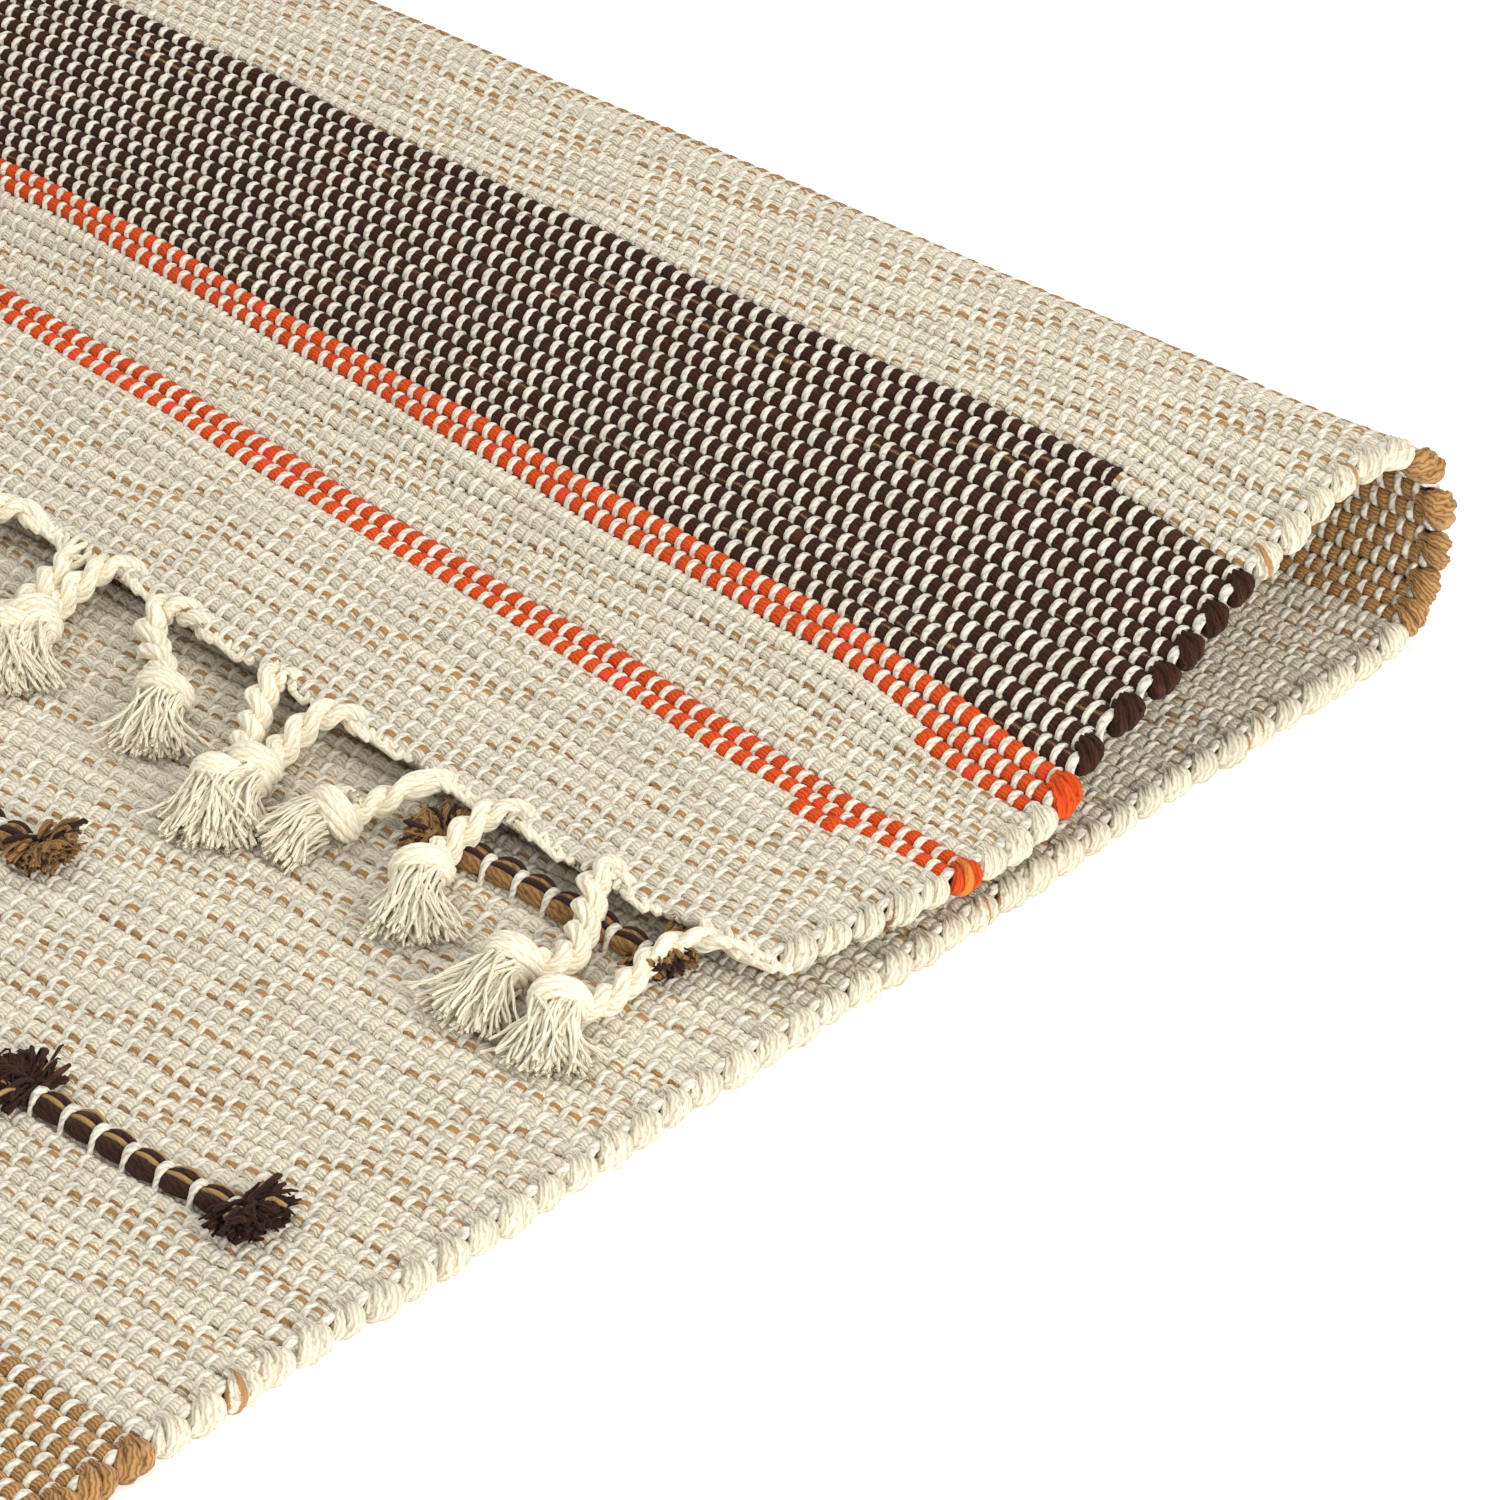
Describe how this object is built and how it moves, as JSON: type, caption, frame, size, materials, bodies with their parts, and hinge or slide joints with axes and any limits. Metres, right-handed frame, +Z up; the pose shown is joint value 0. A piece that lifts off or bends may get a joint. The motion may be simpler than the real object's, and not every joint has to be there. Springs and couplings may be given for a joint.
{
  "type": "runner rug",
  "caption": "Flat-woven cotton runner rug with coloured cross bands, inlaid bars with cut tufts and a knotted fringe, stored with its fringed end folded over.",
  "frame": {"origin": "centre of the bounding box at the underside of the lower run", "axes": "+X along the runner towards the fold, +Y along the weft, +Z up"},
  "size_m": [1.4846, 0.66, 0.0779],
  "materials": {
    "cream_cloth": "matt undyed cotton plain weave with scattered tan strands",
    "tan_cloth": "matt tan weft under cream warp",
    "brown_cloth": "matt dark brown weft under cream warp",
    "orange_cloth": "matt orange weft under cream warp",
    "fringe_cotton": "soft twisted cream cotton",
    "bar_brown_yarn": "fuzzy dark brown and tan yarn bundle",
    "bar_tan_yarn": "fuzzy tan and dark brown yarn bundle"
  },
  "bodies": {
    "lower_run": {"cream_field_a": "cream_cloth", "cream_field_b": "cream_cloth", "cream_band_b1": "cream_cloth", "cream_band_b2": "cream_cloth", "heading_b": "cream_cloth", "tan_band_fold": "tan_cloth", "tan_band_centre": "tan_cloth", "tan_band_b": "tan_cloth", "brown_band_b": "brown_cloth", "orange_stripe_b1": "orange_cloth", "orange_stripe_b2": "orange_cloth", "bar_a1_1": "bar_brown_yarn", "bar_a1_2": "bar_brown_yarn", "bar_a2_1": "bar_tan_yarn", "bar_a2_2": "bar_tan_yarn", "bar_a3_1": "bar_tan_yarn", "bar_a3_2": "bar_tan_yarn", "bar_a4_1": "bar_tan_yarn", "bar_a4_2": "bar_tan_yarn", "bar_a5_1": "bar_brown_yarn", "bar_a5_2": "bar_brown_yarn", "tassels_b01": "fringe_cotton", "tassels_b02": "fringe_cotton", "tassels_b03": "fringe_cotton", "tassels_b04": "fringe_cotton", "tassels_b05": "fringe_cotton", "tassels_b06": "fringe_cotton", "tassels_b07": "fringe_cotton", "tassels_b08": "fringe_cotton", "tassels_b09": "fringe_cotton", "tassels_b10": "fringe_cotton", "bar_b1_1": "bar_brown_yarn", "bar_b1_2": "bar_brown_yarn", "bar_b2_1": "bar_tan_yarn", "bar_b2_2": "bar_tan_yarn", "bar_b3_1": "bar_tan_yarn", "bar_b3_2": "bar_tan_yarn", "bar_b4_1": "bar_tan_yarn", "bar_b4_2": "bar_tan_yarn", "bar_b5_1": "bar_brown_yarn", "bar_b5_2": "bar_brown_yarn"},
    "flap": {"heading_a": "cream_cloth", "orange_stripe_a2": "orange_cloth", "cream_band_a2": "cream_cloth", "orange_stripe_a1": "orange_cloth", "brown_band_a": "brown_cloth", "cream_band_a1": "cream_cloth", "tassels_a01": "fringe_cotton", "tassels_a02": "fringe_cotton", "tassels_a03": "fringe_cotton", "tassels_a04": "fringe_cotton", "tassels_a05": "fringe_cotton", "tassels_a06": "fringe_cotton", "tassels_a07": "fringe_cotton", "tassels_a08": "fringe_cotton", "tassels_a09": "fringe_cotton", "tassels_a10": "fringe_cotton"}
  },
  "joints": [
    {"name": "flap_lift", "type": "hinge", "parent": "lower_run", "child": "flap", "pos_m": [0.7055, 0, 0.039], "axis": [0, 1, 0], "range_deg": [0, 60], "deforming": ["tan_band_fold"]}
  ]
}
